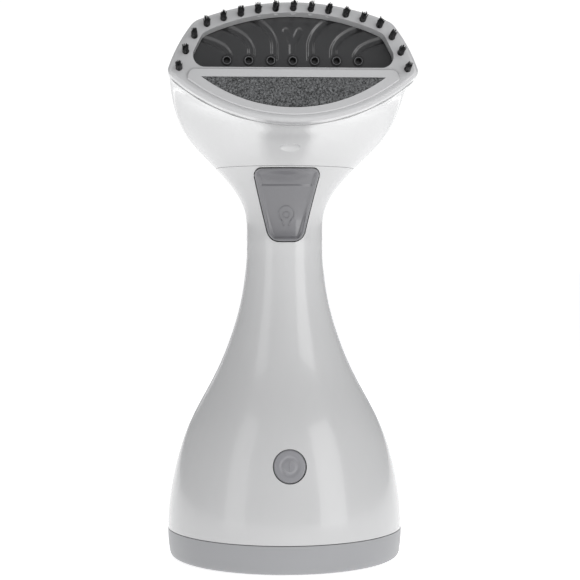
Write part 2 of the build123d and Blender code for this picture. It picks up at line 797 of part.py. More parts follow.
def filler_seal(inner):
    """The tapered rubber plug on the inside of the filler door."""
    plug = FILLER * Pos(0, 0, -9) * Cone(4.2, 5.5, 9, align=(Align.CENTER, Align.CENTER, Align.MIN))
    return plug & inner


def inlet_filter():
    body = Pos(0, PICKUP_Y, TANK_BOTTOM + 8.5) * Cylinder(5.0, 9)
    return body - Pos(0, PICKUP_Y, TANK_BOTTOM + 6) * Cylinder(TUBE_R, 8)


def pickup_tube():
    points = [(0, PUMP_REAR_Y + 6, PUMP_Z), (0, PICKUP_Y, PUMP_Z), (0, PICKUP_Y, TANK_BOTTOM + 9)]
    return tube(points, TUBE_R, 3.8, TUBE_BORE_R)


def pump_body():
    body = rod_y(PUMP_R, PUMP_FRONT_Y, PUMP_REAR_Y, 0, PUMP_Z)
    body += rod_y(PUMP_R + 1.6, -8, 22, 0, PUMP_Z)
    body += rod_y(TUBE_R + 1.2, PUMP_FRONT_Y - 4, PUMP_FRONT_Y, 0, PUMP_Z)
    body += rod_y(TUBE_R + 1.2, PUMP_REAR_Y, PUMP_REAR_Y + 6, 0, PUMP_Z)
    body -= rod_y(5.0 + RUNNING, PUMP_FRONT_Y + 4, PUMP_REAR_Y - 4, 0, PUMP_Z)
    return body - rod_y(TUBE_BORE_R, -40, 60, 0, PUMP_Z)


def pump_plunger():
    rod = rod_y(5.0, -4, 24, 0, PUMP_Z)
    return rod - rod_y(TUBE_BORE_R, -10, 30, 0, PUMP_Z)


def pump_spring():
    return Pos(0, PUMP_FRONT_Y + 4.2, PUMP_Z) * Rot(-90, 0, 0) * coil(3.6, 0.8, 7.6, 4)


def pump_mounts():
    mounts = []
    for y in (-12, 28):
        block = box((-12, y - 3, 4.0), (12, y + 3, PUMP_Z))
        mounts.append(block - rod_y(PUMP_R, y - 5, y + 5, 0, PUMP_Z))
    return mounts


def riser_tube():
    """The pressure tube from the pump, up the neck, to the boiler."""
    spigot = boiler_back() - GASKET_T - COVER_T - SPIGOT_LENGTH
    end = face_point(0, BOILER_V - INLET_DROP, spigot)
    before = face_point(0, BOILER_V - INLET_DROP, spigot - 10)
    points = [(0, PUMP_FRONT_Y - 4, PUMP_Z), (0, -30.5, PUMP_Z), (0, -30.5, 96), (8, -10, 126),
              (8, 11, 150), (8, 11, 208), (0, -10, 240), before, end]
    bends = [5, 14, 14, 14, 16, 14, 5]
    return tube(points, TUBE_R, bends, TUBE_BORE_R)


def wire_loom():
    """The sleeved bundle of wires between the control board, the switch and the heater."""
    points = [(-6, -43.0, 73.5), (-6, -36, 84), (-6, -31, 98), (-8, -9, 126), (-8, 11, 150),
              (-8, 11, 206), (-10, 0, 232), (-12, -22, 254), (-26, -34, 266)]
    return tube(points, 2.2, [4, 6, 12, 12, 14, 12, 8])


def terminal_block():
    block = box((16, 28, 4.0), (36, 38, 14))
    for x in (20, 26, 32):
        block -= Pos(x, 33, 13) * Cylinder(1.8, 6)
    return block


def cord_gland():
    """The cord's inlet: a flanged bush through the rear casing, held by a nut."""
    surface = bell_radius(INLET_Z - 9)
    gland = rod_y(GLAND_R, 54, surface, 0, INLET_Z) + rod_y(9.0, surface, surface + 2.4, 0, INLET_Z)
    return gland - rod_y(INLET_BORE_R, 50, 80, 0, INLET_Z)


def gland_nut():
    plane = Plane(origin=(0, 55.2, INLET_Z), x_dir=(1, 0, 0), z_dir=(0, 1, 0))
    nut = extrude(plane * RegularPolygon(9.0, 6), amount=4.4)
    return nut - rod_y(GLAND_R, 50, 80, 0, INLET_Z)


FACE_DEPTH = Axis(FACE_CENTRE, FACE.z_dir)
FILLER = filler_plane()


def main():
    os.makedirs("parts", exist_ok=True)
    outer = whole_form(0.0, 3.0) & below_rim()
    inner = whole_form(WALL, 3.0)
    handle = (outer - inner) & below(PARTING_Z)
    element = heating_element()

    write("front_shell", front_shell(outer, handle))
    write("rear_shell", rear_shell(outer, handle))
    write("head_shell", head_shell(outer, inner))
    write("case_screws", Compound(children=case_screws()))
    write("base_ring", base_ring())
    write("base_plate", base_plate())
    write("rubber_feet", Compound(children=rubber_feet()))
    write("base_screws", Compound(children=base_screws()))

    write("brush_frame", brush_frame())
    write("pad_holder", pad_holder())
    write("lint_pad", lint_pad())
    write("bristle_tufts", Compound(children=bristle_tufts()))

    write("steam_plate", steam_plate())
    write("nozzle_inserts", Compound(children=nozzle_inserts()))
    write("steam_gasket", steam_gasket())
    write("heating_element", element)
    write("boiler", boiler(element))
    write("boiler_gasket", boiler_gasket())
    write("boiler_cover", boiler_cover())
    write("boiler_screws", Compound(children=boiler_screws()))
    write("thermostat", thermostat())
    write("thermal_fuse", thermal_fuse())
    write("heat_shield", heat_shield())
    write("boiler_brackets", Compound(children=boiler_brackets(inner)))

    write("trigger", trigger(whole_form(-TRIGGER_PROUD), whole_form(0.8)))
    write("trigger_pin", rod_x(PIN_R, -21.4, 21.4, PIN_Y, PIN_Z))
    write("trigger_spring", trigger_spring())
    write("trigger_switch", trigger_switch())
    write("switch_plunger", switch_plunger())
    write("switch_bracket", switch_bracket(inner))

    write("power_button", power_button(bell_form(BUTTON_RECESS)))
    write("power_button_spring", power_button_spring())
    write("power_switch", power_switch())
    write("power_switch_stem", power_switch_stem())
    write("control_board", control_board())
    write("board_screws", Compound(children=board_screws()))

    write("water_tank", water_tank())
    write("filler_door", filler_door(outer, inner))
    write("filler_hinge_pin", filler_hinge_pin())
    write("filler_seal", filler_seal(inner))
    write("inlet_filter", inlet_filter())
    write("pickup_tube", pickup_tube())
    write("pump_body", pump_body())
    write("pump_plunger", pump_plunger())
    write("pump_spring", pump_spring())
    write("pump_mounts", Compound(children=pump_mounts()))
    write("riser_tube", riser_tube())
    write("wire_loom", wire_loom())
    write("terminal_block", terminal_block())
    write("cord_gland", cord_gland())
    write("gland_nut", gland_nut())


main()
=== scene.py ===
import json
import math
import random

import bpy
from mathutils import Matrix, Vector
from mathutils.bvhtree import BVHTree


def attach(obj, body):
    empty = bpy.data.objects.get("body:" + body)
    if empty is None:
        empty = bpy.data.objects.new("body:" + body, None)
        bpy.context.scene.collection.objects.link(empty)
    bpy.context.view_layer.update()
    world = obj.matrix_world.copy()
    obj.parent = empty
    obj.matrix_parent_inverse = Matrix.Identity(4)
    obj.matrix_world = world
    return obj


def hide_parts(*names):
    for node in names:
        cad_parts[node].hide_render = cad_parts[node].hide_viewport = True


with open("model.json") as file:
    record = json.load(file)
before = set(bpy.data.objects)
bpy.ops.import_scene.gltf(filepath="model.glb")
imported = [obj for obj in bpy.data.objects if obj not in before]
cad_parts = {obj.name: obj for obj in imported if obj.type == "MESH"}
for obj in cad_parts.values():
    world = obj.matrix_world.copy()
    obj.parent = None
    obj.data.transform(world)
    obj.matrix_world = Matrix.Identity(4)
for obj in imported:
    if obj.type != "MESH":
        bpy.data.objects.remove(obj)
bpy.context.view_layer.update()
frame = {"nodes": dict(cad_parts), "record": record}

MM = 0.001

# --- face frame: u to the right, v up the face, w out of it, measured from the ring's front ---
FACE_TILT = math.radians(8.0)
FACE_CENTRE = Vector((0.0, -95.0, 265.0))
FACE_UP = Vector((0.0, math.sin(FACE_TILT), math.cos(FACE_TILT)))
FACE_OUT = Vector((0.0, -math.cos(FACE_TILT), math.sin(FACE_TILT)))


def face_point(u, v, w):
    return (FACE_CENTRE + Vector((u, 0, 0)) + FACE_UP * v + FACE_OUT * w) * MM


# ---------------------------------------------------------------- camera, light and floor

CAMERA_PLACE = (-0.040, -0.839, 0.165)
CAMERA_YAW = math.radians(2.939)
CAMERA_PITCH = math.radians(-1.146)
LENS_MM = 93.1
SENSOR_MM = 36.0
BACKDROP_STRENGTH = 1.05
FILL_STRENGTH = 0.36
FLOOR_HALF = 20.0
FLOOR_GLOW = 0.69


def make_camera():
    data = bpy.data.cameras.new("camera")
    data.sensor_width = SENSOR_MM
    data.lens = LENS_MM
    data.clip_start = 0.01
    camera = bpy.data.objects.new("camera", data)
    bpy.context.scene.collection.objects.link(camera)
    level = math.cos(CAMERA_PITCH)
    ahead = Vector((math.sin(CAMERA_YAW) * level, math.cos(CAMERA_YAW) * level, math.sin(CAMERA_PITCH)))
    side = ahead.cross(Vector((0, 0, 1))).normalized()
    up = side.cross(ahead)
    turn = Matrix((side, up, -ahead)).transposed()
    camera.matrix_world = Matrix.Translation(CAMERA_PLACE) @ turn.to_4x4()
    bpy.context.scene.camera = camera


def area_light(name, place, aim, size, power, glossy=True):
    """A rectangular light that looks at the part's upright axis, at the height given by aim."""
    data = bpy.data.lights.new(name, "AREA")
    data.shape = "RECTANGLE"
    data.size, data.size_y = size
    data.energy = power
    lamp = bpy.data.objects.new(name, data)
    bpy.context.scene.collection.objects.link(lamp)
    lamp.location = place
    lamp.rotation_euler = (Vector((0, 0, aim)) - Vector(place)).to_track_quat("-Z", "Y").to_euler()
    lamp.visible_camera = False
    lamp.visible_glossy = glossy


def make_studio():
    """A white backdrop that the camera sees, a dimmer fill that lights the part, and five area lights."""
    world = bpy.data.worlds.new("studio")
    world.use_nodes = True
    nodes, links = world.node_tree.nodes, world.node_tree.links
    backdrop = nodes["Background"]
    backdrop.inputs["Color"].default_value = (1.0, 1.0, 1.0, 1)
    backdrop.inputs["Strength"].default_value = BACKDROP_STRENGTH
    fill = nodes.new("ShaderNodeBackground")
    fill.inputs["Color"].default_value = (0.97, 0.98, 1.0, 1)
    fill.inputs["Strength"].default_value = FILL_STRENGTH
    path = nodes.new("ShaderNodeLightPath")
    mix = nodes.new("ShaderNodeMixShader")
    links.new(path.outputs["Is Camera Ray"], mix.inputs["Fac"])
    links.new(fill.outputs["Background"], mix.inputs[1])
    links.new(backdrop.outputs["Background"], mix.inputs[2])
    links.new(mix.outputs["Shader"], nodes["World Output"].inputs["Surface"])
    bpy.context.scene.world = world
    area_light("strip_left", (-0.60, -0.50, 0.30), aim=0.17, size=(0.30, 0.9), power=0.9)
    area_light("strip_right", (0.62, -0.62, 0.32), aim=0.17, size=(0.45, 0.9), power=2.5)
    area_light("front_soft", (0.45, -1.25, 0.70), aim=0.18, size=(0.8, 0.6), power=3.2, glossy=False)
    area_light("top_soft", (0.0, -0.05, 1.25), aim=0.2, size=(1.3, 1.3), power=2.8)
    area_light("back_soft", (0.0, 1.10, 0.60), aim=0.18, size=(1.2, 0.9), power=2.0)
    bpy.context.scene.view_settings.view_transform = "Standard"


def make_floor():
    mesh = bpy.data.meshes.new("floor")
    corners = [(x * FLOOR_HALF, y * FLOOR_HALF, 0) for x, y in ((-1, -1), (1, -1), (1, 1), (-1, 1))]
    mesh.from_pydata(corners, [], [(0, 1, 2, 3)])
    floor = bpy.data.objects.new("floor", mesh)
    bpy.context.scene.collection.objects.link(floor)
    pale, surface = shader("floor_white")
    surface.inputs["Base Color"].default_value = (0.92, 0.92, 0.92, 1)
    surface.inputs["Roughness"].default_value = 0.9
    surface.inputs["Emission Color"].default_value = (1, 1, 1, 1)
    surface.inputs["Emission Strength"].default_value = FLOOR_GLOW
    mesh.materials.append(pale)


# ---------------------------------------------------------------- materials

def shader(name):
    made = bpy.data.materials.new(name)
    made.use_nodes = True
    return made, made.node_tree.nodes["Principled BSDF"]


def add_bump(made, surface, texture, strength, distance):
    bump = made.node_tree.nodes.new("ShaderNodeBump")
    bump.inputs["Strength"].default_value = strength
    bump.inputs["Distance"].default_value = distance
    made.node_tree.links.new(texture, bump.inputs["Height"])
    made.node_tree.links.new(bump.outputs["Normal"], surface.inputs["Normal"])


def noise(made, scale, detail=2.0):
    """A noise pattern fixed to the object, with its scale in waves per metre."""
    place = made.node_tree.nodes.new("ShaderNodeTexCoord")
    texture = made.node_tree.nodes.new("ShaderNodeTexNoise")
    texture.inputs["Scale"].default_value = scale
    texture.inputs["Detail"].default_value = detail
    made.node_tree.links.new(place.outputs["Object"], texture.inputs["Vector"])
    return texture


def ramp(made, source, dark, light, low=0.35, high=0.65):
    """A colour ramp from one grey or colour to another, driven by a pattern."""
    node = made.node_tree.nodes.new("ShaderNodeValToRGB")
    first, last = node.color_ramp.elements
    first.position, first.color = low, (*dark, 1)
    last.position, last.color = high, (*light, 1)
    made.node_tree.links.new(source, node.inputs["Fac"])
    return node.outputs["Color"]


def plastic(name, colour, roughness, coat=0.0, grain=0.0):
    made, surface = shader(name)
    surface.inputs["Roughness"].default_value = roughness
    surface.inputs["Coat Weight"].default_value = coat
    surface.inputs["Coat Roughness"].default_value = 0.05
    mottle = noise(made, 30.0)
    dark = tuple(c * 0.985 for c in colour)
    made.node_tree.links.new(ramp(made, mottle.outputs["Fac"], dark, colour), surface.inputs["Base Color"])
    if grain:
        add_bump(made, surface, noise(made, 2500.0).outputs["Fac"], grain, 0.0001)
    return made


def metal(name, colour, roughness, grain):
    made, surface = shader(name)
    surface.inputs["Metallic"].default_value = 1.0
    surface.inputs["Roughness"].default_value = roughness
    dark = tuple(c * 0.9 for c in colour)
    mottle = noise(made, 400.0)
    made.node_tree.links.new(ramp(made, mottle.outputs["Fac"], dark, colour), surface.inputs["Base Color"])
    add_bump(made, surface, mottle.outputs["Fac"], grain, 0.0001)
    return made


def fabric():
    """Napped fabric: dark and light fibres mixed at a fine scale."""
    made, surface = shader("pad_fabric")
    surface.inputs["Roughness"].default_value = 0.95
    surface.inputs["Sheen Weight"].default_value = 0.3
    fibres = noise(made, 1250.0, 3.0)
    colour = ramp(made, fibres.outputs["Fac"], (0.016, 0.0165, 0.017), (0.18, 0.184, 0.188), 0.36, 0.66)
    made.node_tree.links.new(colour, surface.inputs["Base Color"])
    add_bump(made, surface, fibres.outputs["Fac"], 0.8, 0.0003)
    return made


def board():
    made, surface = shader("board_green")
    surface.inputs["Roughness"].default_value = 0.4
    tracks = noise(made, 900.0, 1.0)
    colour = ramp(made, tracks.outputs["Fac"], (0.02, 0.12, 0.05), (0.05, 0.22, 0.09), 0.48, 0.52)
    made.node_tree.links.new(colour, surface.inputs["Base Color"])
    return made


# Each plastic's colour, roughness, share of clear coat and grain.
PLASTICS = {
    "shell_white": ((0.52, 0.52, 0.522), 0.24, 0.5),
    "band_grey": ((0.31, 0.312, 0.322), 0.42, 0.1, 0.02),
    "control_grey": ((0.143, 0.142, 0.151), 0.22, 0.7),
    "button_grey": ((0.245, 0.244, 0.258), 0.3, 0.4),
    "nozzle_ring": ((0.10, 0.10, 0.105), 0.35, 0.3),
    "ring_grey": ((0.43, 0.43, 0.435), 0.25, 0.6),
    "bristle_black": ((0.008, 0.008, 0.009), 0.45),
    "plate_dark": ((0.030, 0.030, 0.031), 0.25, 0.6, 0.02),
    "nozzle_black": ((0.003, 0.003, 0.003), 0.65),
    "rubber_black": ((0.02, 0.02, 0.02), 0.7, 0.0, 0.1),
    "silicone": ((0.5, 0.48, 0.46), 0.5),
    "inner_white": ((0.6, 0.6, 0.59), 0.5),
    "inner_black": ((0.03, 0.03, 0.032), 0.5),
    "tank_clear": ((0.6, 0.68, 0.72), 0.25),
}


def make_materials():
    """One material for each slot in the record, and one each for the button and the nozzles' rings."""
    made = {name: plastic(name, *look) for name, look in PLASTICS.items()}
    made["cast_aluminium"] = metal("cast_aluminium", (0.6, 0.6, 0.61), 0.5, 0.4)
    made["steel"] = metal("steel", (0.55, 0.55, 0.56), 0.3, 0.1)
    made["pad_fabric"] = fabric()
    made["board_green"] = board()
    return made


def paint_frame():
    """Gives every CAD node its slot's material."""
    for part in frame["record"]["subparts"]:
        node = frame["nodes"][part["node"]]
        node.data.materials.clear()
        node.data.materials.append(MATERIALS[part["material_slot"]])


# ---------------------------------------------------------------- mesh building

def piece(name, points, faces, slot, body, *replaced):
    """A smooth mesh that rides on a body and may stand for CAD nodes."""
    mesh = bpy.data.meshes.new(name)
    mesh.from_pydata(points, [], faces)
    mesh.validate()
    mesh.update()
    made = bpy.data.objects.new(name, mesh)
    bpy.context.scene.collection.objects.link(made)
    mesh.materials.append(MATERIALS[slot])
    mesh.shade_smooth()
    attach(made, body)
    if replaced:
        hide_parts(*replaced)
    return made


def repaint(made, finish):
    """Gives a piece a shade of its own within its slot."""
    made.data.materials[0] = MATERIALS[finish]
    return made


def sharpen(made, degrees):
    """Marks edges sharper than an angle, so that flats and rounds both shade truly."""
    made.data.set_sharp_from_angle(angle=math.radians(degrees))


def grid_faces(rows, columns, first=0):
    faces = []
    for i in range(rows - 1):
        for j in range(columns - 1):
            a = first + i * columns + j
            faces.append((a, a + 1, a + columns + 1, a + columns))
    return faces


def slab(name, half_width, low, high, front, back, rows, columns, slot, body, *replaced):
    """A solid with a shaped front: half_width(v) is its outline, front(u, v) and back(u, v) give points."""
    fronts, backs = [], []
    for i in range(rows):
        v = low + (high - low) * i / (rows - 1)
        for j in range(columns):
            u = half_width(v) * (2 * j / (columns - 1) - 1)
            fronts.append(front(u, v))
            backs.append(back(u, v))
    count = rows * columns
    faces = grid_faces(rows, columns)
    faces += [tuple(reversed(f)) for f in grid_faces(rows, columns, count)]
    rim = list(range(columns))
    rim += [i * columns + columns - 1 for i in range(1, rows)]
    rim += [(rows - 1) * columns + j for j in range(columns - 2, -1, -1)]
    rim += [i * columns for i in range(rows - 2, 0, -1)]
    for k, a in enumerate(rim):
        b = rim[(k + 1) % len(rim)]
        faces.append((b, a, a + count, b + count))
    return piece(name, fronts + backs, faces, slot, body, *replaced)


def smooth_step(t):
    t = min(max(t, 0.0), 1.0)
    return t * t * (3 - 2 * t)


def arc_half_width(v, centre, radius):
    return math.sqrt(max(radius * radius - (v - centre) ** 2, 0.0))


def segment_distance(p, a, b):
    du, dv = b[0] - a[0], b[1] - a[1]
    t = ((p[0] - a[0]) * du + (p[1] - a[1]) * dv) / (du * du + dv * dv)
    t = min(max(t, 0.0), 1.0)
    return math.hypot(p[0] - a[0] - t * du, p[1] - a[1] - t * dv)


def path_distance(p, path):
    return min(segment_distance(p, a, b) for a, b in zip(path, path[1:]))


def rounded_path(points, steps=6):
    """A smooth line through a few points, as a Catmull-Rom curve."""
    padded = [points[0], *points, points[-1]]
    line = []
    for k in range(1, len(padded) - 2):
        p0, p1, p2, p3 = (Vector(p) for p in padded[k - 1:k + 3])
        for s in range(steps):
            t = s / steps
            line.append(tuple(0.5 * (2 * p1 + (p2 - p0) * t + (2 * p0 - 5 * p1 + 4 * p2 - p3) * t ** 2
                                     + (3 * p1 - p0 - 3 * p2 + p3) * t ** 3)))
    return line + [tuple(points[-1])]


def face_depths(node):
    """A CAD node's reach along the face's normal, in millimetres."""
    depths = [(v.co / MM - FACE_CENTRE).dot(FACE_OUT) for v in frame["nodes"][node].data.vertices]
    return min(depths), max(depths)


# ---------------------------------------------------------------- steam plate

PLATE_INSET = 4.4
PLATE_LOW = -27.5
PLATE_HIGH = 24.6
SIDE_CENTRE = (-9.4, -27.7)
SIDE_ARC = 75.0
TOP_CENTRE_V = -95.9
TOP_ARC = 125.0
LOW_CENTRE_V = 59.2
LOW_ARC = 91.2
CORNER_SHARPNESS = 24
NOZZLE_PITCH = 11.0
NOZZLE_V = 0.9
NOZZLE_PIT_R = 1.9
NOZZLE_COLLAR_R = 2.9
PIT_FLOOR = 0.2
GROOVE_HALF = 1.5
GROOVE_SHOULDER = 1.3
GROOVE_DEPTH = 0.9
MIDDLE_SHARE = 0.55


def plate_half_width(v):
    """Half the plate's width: bowed sides between a flat arc above and a rounder one below."""
    side = SIDE_CENTRE[0] + arc_half_width(v, SIDE_CENTRE[1], SIDE_ARC - PLATE_INSET)
    above = arc_half_width(v, TOP_CENTRE_V, TOP_ARC - PLATE_INSET)
    below = arc_half_width(v, LOW_CENTRE_V, LOW_ARC - PLATE_INSET)
    widths = [max(w, 0.01) for w in (side, above, below)]
    return sum(w ** -CORNER_SHARPNESS for w in widths) ** (-1 / CORNER_SHARPNESS)


def nozzle_places():
    return [k * NOZZLE_PITCH for k in range(-3, 4)]


def leaning_groove(side, foot, straight, rise):
    """A channel that goes straight up from beside a nozzle and then leans outwards."""
    turn = NOZZLE_V + straight
    line = [(foot, NOZZLE_V + 0.6), (foot, NOZZLE_V + straight * 0.6), (foot + 0.3, turn)]
    line += [(foot + out, turn + rise * share) for out, share in ((2.6, 0.3), (7.0, 0.56), (13.0, 0.76))]
    return rounded_path([(side * u, v) for u, v in line])


def steam_grooves():
    """Channels that spread like a fountain, each with its share of the full depth."""
    stem_foot, fork = NOZZLE_V + 3.4, NOZZLE_V + 8.6
    grooves = [([(0, stem_foot), (0, fork)], MIDDLE_SHARE)]
    for side in (-1, 1):
        grooves.append(([(0, fork), (side * 3.4, fork + 6.8)], MIDDLE_SHARE))
        for foot, straight, rise in ((9.0, 9.8, 17.0), (20.6, 6.6, 13.6), (32.0, 3.6, 9.6)):
            grooves.append((leaning_groove(side, foot, straight, rise), 1.0))
    return grooves


def steam_plate():
    """The heated plate, with its channels and a pit round each nozzle."""
    grooves = steam_grooves()
    plate_back, plate_front = face_depths("steam_plate")

    def groove_share(u, v, path):
        """How far a place is inside one channel, from 0 to 1."""
        past = path_distance((u, v), path) - GROOVE_HALF + GROOVE_SHOULDER / 2
        return 1 - smooth_step(past / GROOVE_SHOULDER)

    def sunk(u, v):
        """How deep the plate's face is sunk at a place."""
        share = max(part * groove_share(u, v, path) for path, part in grooves)
        clear = min(math.hypot(u - place, v - NOZZLE_V) for place in nozzle_places())
        if clear < NOZZLE_PIT_R:
            return plate_front - plate_back - PIT_FLOOR
        return GROOVE_DEPTH * share * smooth_step((clear - NOZZLE_COLLAR_R) / 0.8)

    def front(u, v):
        return face_point(u, v, plate_front - sunk(u, v))

    def back(u, v):
        return face_point(u, v, plate_back)

    made = slab("steam_plate_grooved", plate_half_width, PLATE_LOW, PLATE_HIGH, front, back, 100, 210,
                "plate_dark", "housing", "steam_plate")
    sharpen(made, 50)


def nozzle_rings():
    """A thin bright ring on each nozzle's collar."""
    front = face_depths("nozzle_inserts")[1]
    ring_r, wire_r, turns, sides = 1.95, 0.24, 32, 8
    points, faces = [], []
    for place in nozzle_places():
        first = len(points)
        for i in range(turns):
            a = 2 * math.pi * i / turns
            for k in range(sides):
                b = 2 * math.pi * k / sides
                away = ring_r + wire_r * math.cos(b)
                u, v = place + away * math.cos(a), NOZZLE_V + away * math.sin(a)
                points.append(face_point(u, v, front + wire_r * math.sin(b)))
        for i in range(turns):
            here, ahead = first + i * sides, first + (i + 1) % turns * sides
            for k in range(sides):
                after = (k + 1) % sides
                faces.append((here + k, ahead + k, ahead + after, here + after))
    repaint(piece("nozzle_rings", points, faces, "plate_dark", "housing"), "nozzle_ring")


# ---------------------------------------------------------------- lint pad

PAD_TOP = -9.9
PAD_BOTTOM = -25.2
PAD_ARC = 75.9
PAD_REACH = 45.5
PAD_ROUNDING = 1.8
PILE_ROOM = 0.55
PILE_COUNT = 5200
PILE_HALF = 0.17


def pad_edge_distance(u, v):
    """How far a place is inside the half-moon's outline."""
    below = PAD_ARC - math.hypot(u, v - PAD_BOTTOM - PAD_ARC)
    return min(PAD_TOP - v, below)


def lint_pad():
    """A half-moon of napped fabric: a crowned ground with short pile all over it."""
    draw = random.Random(7)
    pad_floor, pad_front = face_depths("lint_pad")

    def crown(u, v):
        edge = min(max(pad_edge_distance(u, v), 0.0) / PAD_ROUNDING, 1.0)
        return pad_front - PILE_ROOM - 0.6 * (1 - edge) ** 2

    def front(u, v):
        ribs = 0.05 * math.sin(u * 5.2) * math.sin(v * 5.2)
        return face_point(u, v, crown(u, v) + ribs + draw.uniform(-0.06, 0.06))

    def back(u, v):
        return face_point(u, v, pad_floor)

    def half_width(v):
        return arc_half_width(v, PAD_BOTTOM + PAD_ARC, PAD_ARC - 0.1)

    ground = slab("lint_pad_ground", half_width, PAD_BOTTOM + 0.12, PAD_TOP - 0.05, front, back,
                  42, 200, "pad_fabric", "attachment", "lint_pad")
    points, faces = [], []
    while len(points) < 4 * PILE_COUNT:
        u, v = draw.uniform(-PAD_REACH, PAD_REACH), draw.uniform(PAD_BOTTOM + 0.2, PAD_TOP)
        if pad_edge_distance(u, v) < 0.05:
            continue
        turn, lift = draw.uniform(0, 2 * math.pi), draw.uniform(0.25, 0.55)
        base = crown(u, v) - 0.1
        first = len(points)
        for k in range(3):
            a = turn + k * 2 * math.pi / 3
            points.append(face_point(u + PILE_HALF * math.cos(a), v + PILE_HALF * math.sin(a), base))
        tip_u, tip_v = u + draw.uniform(-0.3, 0.3), v + draw.uniform(-0.3, 0.35)
        points.append(face_point(tip_u, tip_v, base + 0.1 + lift))
        faces += [(first, first + 1, first + 3), (first + 1, first + 2, first + 3),
                  (first + 2, first, first + 3), (first, first + 2, first + 1)]
    piece("lint_pad_pile", points, faces, "pad_fabric", "attachment")


# ---------------------------------------------------------------- bristle tufts

TUFT_STRANDS = 46
TUFT_R = 1.55
TUFT_FOOT = -2.9
TUFT_TIP = 9.4
TUFT_GAP = 4.5
STRAND_R = 0.30
STRAND_TAPER = 0.13


def tuft_centres():
    """Where the CAD tufts stand: its corners, grouped by how near they are, and each group's middle."""
    groups = []
    for vertex in frame["nodes"]["bristle_tufts"].data.vertices:
        away = vertex.co / MM - FACE_CENTRE
        u, v = away.x, away.dot(FACE_UP)
        for group in groups:
            if math.hypot(group[0][0] - u, group[0][1] - v) < TUFT_GAP:
                group.append((u, v))
                break
        else:
            groups.append([(u, v)])
    middles = []
    for group in groups:
        us, vs = [p[0] for p in group], [p[1] for p in group]
        middles.append(((min(us) + max(us)) / 2, (min(vs) + max(vs)) / 2))
    return sorted(middles)


def bristle_tufts():
    """Each tuft as a bundle of tapered strands that spread a little towards their tips."""
    draw = random.Random(11)
    points, faces = [], []
    sides, levels = 4, 4
    for centre_u, centre_v in tuft_centres():
        for _ in range(TUFT_STRANDS):
            away, turn = TUFT_R * math.sqrt(draw.random()) * 0.93, draw.uniform(0, 2 * math.pi)
            foot_u, foot_v = away * math.cos(turn), away * math.sin(turn)
            tip = draw.uniform(TUFT_TIP - 1.5, TUFT_TIP)
            lean_u, lean_v = draw.uniform(-0.3, 0.3), draw.uniform(-0.3, 0.3)
            spread = draw.uniform(0.0, 0.22)
            first = len(points)
            for level in range(levels):
                t = level / (levels - 1)
                radius = STRAND_R - STRAND_TAPER * t
                bend = t * t
                u = centre_u + foot_u * (1 + spread * bend) + lean_u * bend
                v = centre_v + foot_v * (1 + spread * bend) + lean_v * bend
                w = TUFT_FOOT + (tip - TUFT_FOOT) * t
                for k in range(sides):
                    a = turn + 2 * math.pi * k / sides
                    points.append(face_point(u + radius * math.cos(a), v + radius * math.sin(a), w))
            for level in range(levels - 1):
                for k in range(sides):
                    a, b = first + level * sides + k, first + level * sides + (k + 1) % sides
                    faces.append((a, b, b + sides, a + sides))
            faces.append(tuple(first + k for k in reversed(range(sides))))
            faces.append(tuple(first + (levels - 1) * sides + k for k in range(sides)))
    piece("bristle_strands", points, faces, "bristle_black", "attachment", "bristle_tufts")


# ---------------------------------------------------------------- trigger

IN_FRONT_Y = -90.0
TRIGGER_TOP = 214.3
TRIGGER_BOTTOM = 175.2
TRIGGER_HALF_TOP = 18.4
TRIGGER_HALF_BOTTOM = 8.9
TRIGGER_CREASE = 204.9
TRIGGER_RIM = 0.9
TRIGGER_BEVEL = 2.4
TRIGGER_STEP = 1.8
TRIGGER_INSET = 0.12
TRIGGER_ROUNDING = 0.55
SIDE_SLOPE = 0.968
CAP_DEPTH = 3.6
UPPER_DISH = 2.3
UPPER_EDGE = 0.3
PANEL_EDGE = 0.9
PANEL_DISH = 1.9
CORNER_TOP = 3.4
CORNER_BOTTOM = 6.8
MARK_Z = 190.3
MARK_HEIGHT = 0.34


def surface_of(made):
    """A lookup of a mesh's front, seen along +Y."""
    mesh = made.data
    return BVHTree.FromPolygons([v.co for v in mesh.vertices], [tuple(p.vertices) for p in mesh.polygons])


def front_y(tree, x, z):
    """The front surface's y at x and z, in millimetres, or None."""
    hit = tree.ray_cast(Vector((x, IN_FRONT_Y, z)) * MM, Vector((0, 1, 0)))[0]
    return None if hit is None else hit.y / MM


def trigger_half_width(z):
    """Half the trigger's width: leaning sides, with arcs at the corners that touch the side and the end."""
    lean = math.atan((TRIGGER_HALF_TOP - TRIGGER_HALF_BOTTOM) / (TRIGGER_TOP - TRIGGER_BOTTOM))
    width = TRIGGER_HALF_BOTTOM + math.tan(lean) * (z - TRIGGER_BOTTOM)
    ends = ((z - TRIGGER_BOTTOM, TRIGGER_HALF_BOTTOM, CORNER_BOTTOM, math.pi / 2 - lean),
            (TRIGGER_TOP - z, TRIGGER_HALF_TOP, CORNER_TOP, math.pi / 2 + lean))
    for room, end, radius, turn in ends:
        if room < radius * (1 - math.cos(turn)):
            middle = end - radius * math.tan(turn / 2)
            width = middle + math.sqrt(max(radius ** 2 - (radius - room) ** 2, 0.0))
    return width


